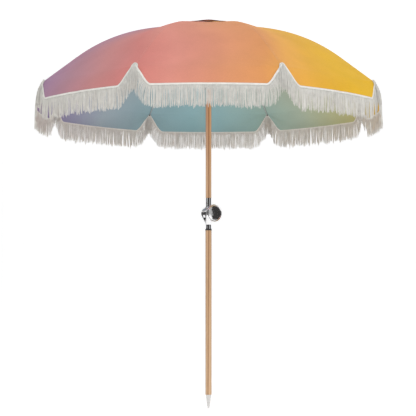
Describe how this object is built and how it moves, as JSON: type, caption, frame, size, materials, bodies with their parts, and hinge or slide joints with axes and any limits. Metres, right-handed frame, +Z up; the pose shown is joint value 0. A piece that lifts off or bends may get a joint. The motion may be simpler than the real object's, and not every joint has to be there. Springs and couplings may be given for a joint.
{
  "type": "beach umbrella",
  "caption": "Beach umbrella with a scalloped, fringed canopy on a folding rib frame, a tilting joint with a clamp knob, a wooden pole and a ground spike.",
  "frame": {"origin": "tip of the ground spike, on the pole's axis", "axes": "+Z up along the pole, -Y towards the side that the picture shows, +X to that view's right"},
  "size_m": [1.789, 1.789, 2.0305],
  "materials": {
    "canopy_cloth": "woven cotton canvas, dip-dyed round the rainbow",
    "fringe_cotton": "cream cotton strands and header tape",
    "wood": "pale varnished wood",
    "chrome": "polished",
    "steel": "dull zinc wire",
    "dark_plastic": "matt",
    "white_plastic": "moulded, slightly glossy"
  },
  "bodies": {
    "lower_pole": {"ground_spike": "white_plastic", "lower_pole": "wood", "pole_ring": "dark_plastic"},
    "tilt_base": {"tilt_lower_socket": "chrome", "tilt_bolt": "chrome", "tilt_washers": "dark_plastic"},
    "knob": {"tilt_knob": "chrome", "knob_cover": "chrome"},
    "tilt_head": {"tilt_upper_socket": "chrome", "upper_pole": "wood", "hub": "dark_plastic", "hub_pins": "steel", "vent_cap": "canopy_cloth", "finial": "dark_plastic"},
    "runner": {"runner": "dark_plastic"},
    "button": {"runner_button": "dark_plastic"},
    "rib_arm_1": {"rib_1": "steel", "panel_1": "canopy_cloth"},
    "stretcher_arm_1": {"stretcher_1": "steel"},
    "hem_1": {"valance_1": "canopy_cloth", "fringe_1": "fringe_cotton"},
    "rib_arm_2": {"rib_2": "steel", "panel_2": "canopy_cloth"},
    "stretcher_arm_2": {"stretcher_2": "steel"},
    "hem_2": {"valance_2": "canopy_cloth", "fringe_2": "fringe_cotton"},
    "rib_arm_3": {"rib_3": "steel", "panel_3": "canopy_cloth"},
    "stretcher_arm_3": {"stretcher_3": "steel"},
    "hem_3": {"valance_3": "canopy_cloth", "fringe_3": "fringe_cotton"},
    "rib_arm_4": {"rib_4": "steel", "panel_4": "canopy_cloth"},
    "stretcher_arm_4": {"stretcher_4": "steel"},
    "hem_4": {"valance_4": "canopy_cloth", "fringe_4": "fringe_cotton"},
    "rib_arm_5": {"rib_5": "steel", "panel_5": "canopy_cloth"},
    "stretcher_arm_5": {"stretcher_5": "steel"},
    "hem_5": {"valance_5": "canopy_cloth", "fringe_5": "fringe_cotton"},
    "rib_arm_6": {"rib_6": "steel", "panel_6": "canopy_cloth"},
    "stretcher_arm_6": {"stretcher_6": "steel"},
    "hem_6": {"valance_6": "canopy_cloth", "fringe_6": "fringe_cotton"},
    "rib_arm_7": {"rib_7": "steel", "panel_7": "canopy_cloth"},
    "stretcher_arm_7": {"stretcher_7": "steel"},
    "hem_7": {"valance_7": "canopy_cloth", "fringe_7": "fringe_cotton"},
    "rib_arm_8": {"rib_8": "steel", "panel_8": "canopy_cloth"},
    "stretcher_arm_8": {"stretcher_8": "steel"},
    "hem_8": {"valance_8": "canopy_cloth", "fringe_8": "fringe_cotton"}
  },
  "joints": [
    {"name": "pole_join", "type": "slide", "parent": "lower_pole", "child": "tilt_base", "axis": [0, 0, 1], "range_m": [0, 0.12]},
    {"name": "tilt", "type": "hinge", "parent": "tilt_base", "child": "tilt_head", "pos_m": [0, 0, 1.013], "axis": [0.5736, -0.8192, 0], "range_deg": [0, 45]},
    {"name": "knob_turn", "type": "hinge", "parent": "tilt_base", "child": "knob", "pos_m": [0, 0, 1.013], "axis": [0.5736, -0.8192, 0], "range_deg": [0, 360]},
    {"name": "runner_slide", "type": "slide", "parent": "tilt_head", "child": "runner", "axis": [0, 0, -1], "range_m": [0, 0.5436], "deforming": ["vent_cap", "panel_1", "panel_2", "panel_3", "panel_4", "panel_5", "panel_6", "panel_7", "panel_8", "valance_1", "valance_2", "valance_3", "valance_4", "valance_5", "valance_6", "valance_7", "valance_8", "fringe_1", "fringe_2", "fringe_3", "fringe_4", "fringe_5", "fringe_6", "fringe_7", "fringe_8"]},
    {"name": "button_press", "type": "slide", "parent": "runner", "child": "button", "axis": [0, 1, 0], "range_m": [0, 0.003], "stiffness_N_per_m": 600, "springref_m": -0.001},
    {"name": "rib_hinge_1", "type": "hinge", "parent": "tilt_head", "child": "rib_arm_1", "pos_m": [0.00995, -0.02402, 2.01462], "axis": [0.9239, 0.3827, 0], "range_deg": [0, 61.55]},
    {"name": "stretcher_pin_1", "type": "hinge", "parent": "rib_arm_1", "child": "stretcher_arm_1", "pos_m": [0.16363, -0.39504, 1.93021], "axis": [-0.9239, -0.3827, 0], "range_deg": [0, 109.91]},
    {"name": "hem_hang_1", "type": "hinge", "parent": "rib_arm_1", "child": "hem_1", "pos_m": [0.32337, -0.78068, 1.649], "axis": [-0.9239, -0.3827, 0], "range_deg": [0, 61.55]},
    {"name": "rib_hinge_2", "type": "hinge", "parent": "tilt_head", "child": "rib_arm_2", "pos_m": [0.02402, -0.00995, 2.01462], "axis": [0.3827, 0.9239, 0], "range_deg": [0, 61.55]},
    {"name": "stretcher_pin_2", "type": "hinge", "parent": "rib_arm_2", "child": "stretcher_arm_2", "pos_m": [0.39504, -0.16363, 1.93021], "axis": [-0.3827, -0.9239, 0], "range_deg": [0, 109.91]},
    {"name": "hem_hang_2", "type": "hinge", "parent": "rib_arm_2", "child": "hem_2", "pos_m": [0.78068, -0.32337, 1.649], "axis": [-0.3827, -0.9239, 0], "range_deg": [0, 61.55]},
    {"name": "rib_hinge_3", "type": "hinge", "parent": "tilt_head", "child": "rib_arm_3", "pos_m": [0.02402, 0.00995, 2.01462], "axis": [-0.3827, 0.9239, 0], "range_deg": [0, 61.55]},
    {"name": "stretcher_pin_3", "type": "hinge", "parent": "rib_arm_3", "child": "stretcher_arm_3", "pos_m": [0.39504, 0.16363, 1.93021], "axis": [0.3827, -0.9239, 0], "range_deg": [0, 109.91]},
    {"name": "hem_hang_3", "type": "hinge", "parent": "rib_arm_3", "child": "hem_3", "pos_m": [0.78068, 0.32337, 1.649], "axis": [0.3827, -0.9239, 0], "range_deg": [0, 61.55]},
    {"name": "rib_hinge_4", "type": "hinge", "parent": "tilt_head", "child": "rib_arm_4", "pos_m": [0.00995, 0.02402, 2.01462], "axis": [-0.9239, 0.3827, 0], "range_deg": [0, 61.55]},
    {"name": "stretcher_pin_4", "type": "hinge", "parent": "rib_arm_4", "child": "stretcher_arm_4", "pos_m": [0.16363, 0.39504, 1.93021], "axis": [0.9239, -0.3827, 0], "range_deg": [0, 109.91]},
    {"name": "hem_hang_4", "type": "hinge", "parent": "rib_arm_4", "child": "hem_4", "pos_m": [0.32337, 0.78068, 1.649], "axis": [0.9239, -0.3827, 0], "range_deg": [0, 61.55]},
    {"name": "rib_hinge_5", "type": "hinge", "parent": "tilt_head", "child": "rib_arm_5", "pos_m": [-0.00995, 0.02402, 2.01462], "axis": [-0.9239, -0.3827, 0], "range_deg": [0, 61.55]},
    {"name": "stretcher_pin_5", "type": "hinge", "parent": "rib_arm_5", "child": "stretcher_arm_5", "pos_m": [-0.16363, 0.39504, 1.93021], "axis": [0.9239, 0.3827, 0], "range_deg": [0, 109.91]},
    {"name": "hem_hang_5", "type": "hinge", "parent": "rib_arm_5", "child": "hem_5", "pos_m": [-0.32337, 0.78068, 1.649], "axis": [0.9239, 0.3827, 0], "range_deg": [0, 61.55]},
    {"name": "rib_hinge_6", "type": "hinge", "parent": "tilt_head", "child": "rib_arm_6", "pos_m": [-0.02402, 0.00995, 2.01462], "axis": [-0.3827, -0.9239, 0], "range_deg": [0, 61.55]},
    {"name": "stretcher_pin_6", "type": "hinge", "parent": "rib_arm_6", "child": "stretcher_arm_6", "pos_m": [-0.39504, 0.16363, 1.93021], "axis": [0.3827, 0.9239, 0], "range_deg": [0, 109.91]},
    {"name": "hem_hang_6", "type": "hinge", "parent": "rib_arm_6", "child": "hem_6", "pos_m": [-0.78068, 0.32337, 1.649], "axis": [0.3827, 0.9239, 0], "range_deg": [0, 61.55]},
    {"name": "rib_hinge_7", "type": "hinge", "parent": "tilt_head", "child": "rib_arm_7", "pos_m": [-0.02402, -0.00995, 2.01462], "axis": [0.3827, -0.9239, 0], "range_deg": [0, 61.55]},
    {"name": "stretcher_pin_7", "type": "hinge", "parent": "rib_arm_7", "child": "stretcher_arm_7", "pos_m": [-0.39504, -0.16363, 1.93021], "axis": [-0.3827, 0.9239, 0], "range_deg": [0, 109.91]},
    {"name": "hem_hang_7", "type": "hinge", "parent": "rib_arm_7", "child": "hem_7", "pos_m": [-0.78068, -0.32337, 1.649], "axis": [-0.3827, 0.9239, 0], "range_deg": [0, 61.55]},
    {"name": "rib_hinge_8", "type": "hinge", "parent": "tilt_head", "child": "rib_arm_8", "pos_m": [-0.00995, -0.02402, 2.01462], "axis": [0.9239, -0.3827, 0], "range_deg": [0, 61.55]},
    {"name": "stretcher_pin_8", "type": "hinge", "parent": "rib_arm_8", "child": "stretcher_arm_8", "pos_m": [-0.16363, -0.39504, 1.93021], "axis": [-0.9239, 0.3827, 0], "range_deg": [0, 109.91]},
    {"name": "hem_hang_8", "type": "hinge", "parent": "rib_arm_8", "child": "hem_8", "pos_m": [-0.32337, -0.78068, 1.649], "axis": [-0.9239, 0.3827, 0], "range_deg": [0, 61.55]}
  ],
  "couplings": [
    {"joint": "rib_hinge_1", "follows": "runner_slide", "rad_per_m": 1.9745},
    {"joint": "stretcher_pin_1", "follows": "runner_slide", "rad_per_m": 3.5271},
    {"joint": "hem_hang_1", "follows": "runner_slide", "rad_per_m": 1.9745},
    {"joint": "rib_hinge_2", "follows": "runner_slide", "rad_per_m": 1.9745},
    {"joint": "stretcher_pin_2", "follows": "runner_slide", "rad_per_m": 3.5271},
    {"joint": "hem_hang_2", "follows": "runner_slide", "rad_per_m": 1.9745},
    {"joint": "rib_hinge_3", "follows": "runner_slide", "rad_per_m": 1.9745},
    {"joint": "stretcher_pin_3", "follows": "runner_slide", "rad_per_m": 3.5271},
    {"joint": "hem_hang_3", "follows": "runner_slide", "rad_per_m": 1.9745},
    {"joint": "rib_hinge_4", "follows": "runner_slide", "rad_per_m": 1.9745},
    {"joint": "stretcher_pin_4", "follows": "runner_slide", "rad_per_m": 3.5271},
    {"joint": "hem_hang_4", "follows": "runner_slide", "rad_per_m": 1.9745},
    {"joint": "rib_hinge_5", "follows": "runner_slide", "rad_per_m": 1.9745},
    {"joint": "stretcher_pin_5", "follows": "runner_slide", "rad_per_m": 3.5271},
    {"joint": "hem_hang_5", "follows": "runner_slide", "rad_per_m": 1.9745},
    {"joint": "rib_hinge_6", "follows": "runner_slide", "rad_per_m": 1.9745},
    {"joint": "stretcher_pin_6", "follows": "runner_slide", "rad_per_m": 3.5271},
    {"joint": "hem_hang_6", "follows": "runner_slide", "rad_per_m": 1.9745},
    {"joint": "rib_hinge_7", "follows": "runner_slide", "rad_per_m": 1.9745},
    {"joint": "stretcher_pin_7", "follows": "runner_slide", "rad_per_m": 3.5271},
    {"joint": "hem_hang_7", "follows": "runner_slide", "rad_per_m": 1.9745},
    {"joint": "rib_hinge_8", "follows": "runner_slide", "rad_per_m": 1.9745},
    {"joint": "stretcher_pin_8", "follows": "runner_slide", "rad_per_m": 3.5271},
    {"joint": "hem_hang_8", "follows": "runner_slide", "rad_per_m": 1.9745}
  ]
}
